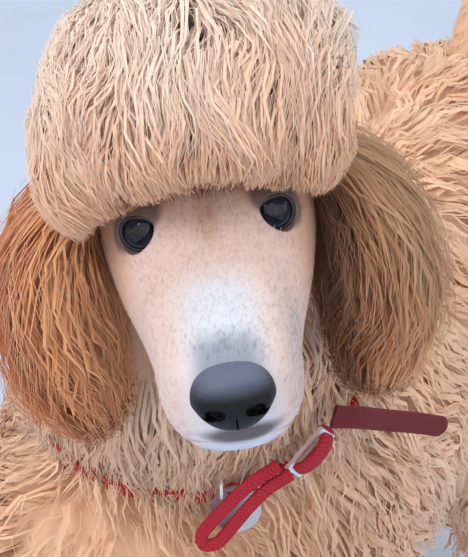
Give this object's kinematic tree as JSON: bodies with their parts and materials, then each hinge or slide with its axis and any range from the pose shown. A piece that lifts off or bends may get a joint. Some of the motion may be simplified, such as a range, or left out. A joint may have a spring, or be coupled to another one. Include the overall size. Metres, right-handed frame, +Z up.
{
  "type": "standard poodle",
  "caption": "Life-size still model of a standing young standard poodle, head turned and tilted up, with a woven collar and a blank tag.",
  "frame": {"origin": "on the floor under the middle of the whole model's box", "axes": "+Y towards the rump along the body's length, +X towards the dog's left side, +Z up; the dog faces -Y"},
  "size_m": [0.334, 0.7346, 0.852],
  "materials": {
    "coat": "curly cream to apricot coat",
    "ear_coat": "long wavy apricot to rust hair",
    "shaved_coat": "short flat cream fur",
    "nose_leather": "damp and finely pebbled",
    "eye": "wet, near black",
    "claw": "dark horn",
    "webbing": "red braided nylon",
    "steel": "bright steel wire",
    "tag_metal": "satin, blank"
  },
  "bodies": {
    "root": {"head": "shaved_coat", "nose": "nose_leather", "topknot": "coat", "neck": "coat", "torso": "coat", "tail": "shaved_coat", "tail_pompon": "coat", "collar_strap": "webbing", "collar_tail": "webbing", "collar_loop": "webbing", "collar_slide": "steel", "tag_ring": "steel", "tag": "tag_metal", "eye_left": "eye", "ear_left": "ear_coat", "foreleg_left": "coat", "thigh_left": "coat", "hindleg_left": "coat", "forepaw_left": "shaved_coat", "foreclaw_left_1": "claw", "foreclaw_left_2": "claw", "foreclaw_left_3": "claw", "foreclaw_left_4": "claw", "hindpaw_left": "shaved_coat", "hindclaw_left_1": "claw", "hindclaw_left_2": "claw", "hindclaw_left_3": "claw", "hindclaw_left_4": "claw", "eye_right": "eye", "ear_right": "ear_coat", "foreleg_right": "coat", "thigh_right": "coat", "hindleg_right": "coat", "forepaw_right": "shaved_coat", "foreclaw_right_1": "claw", "foreclaw_right_2": "claw", "foreclaw_right_3": "claw", "foreclaw_right_4": "claw", "hindpaw_right": "shaved_coat", "hindclaw_right_1": "claw", "hindclaw_right_2": "claw", "hindclaw_right_3": "claw", "hindclaw_right_4": "claw"}
  },
  "joints": []
}
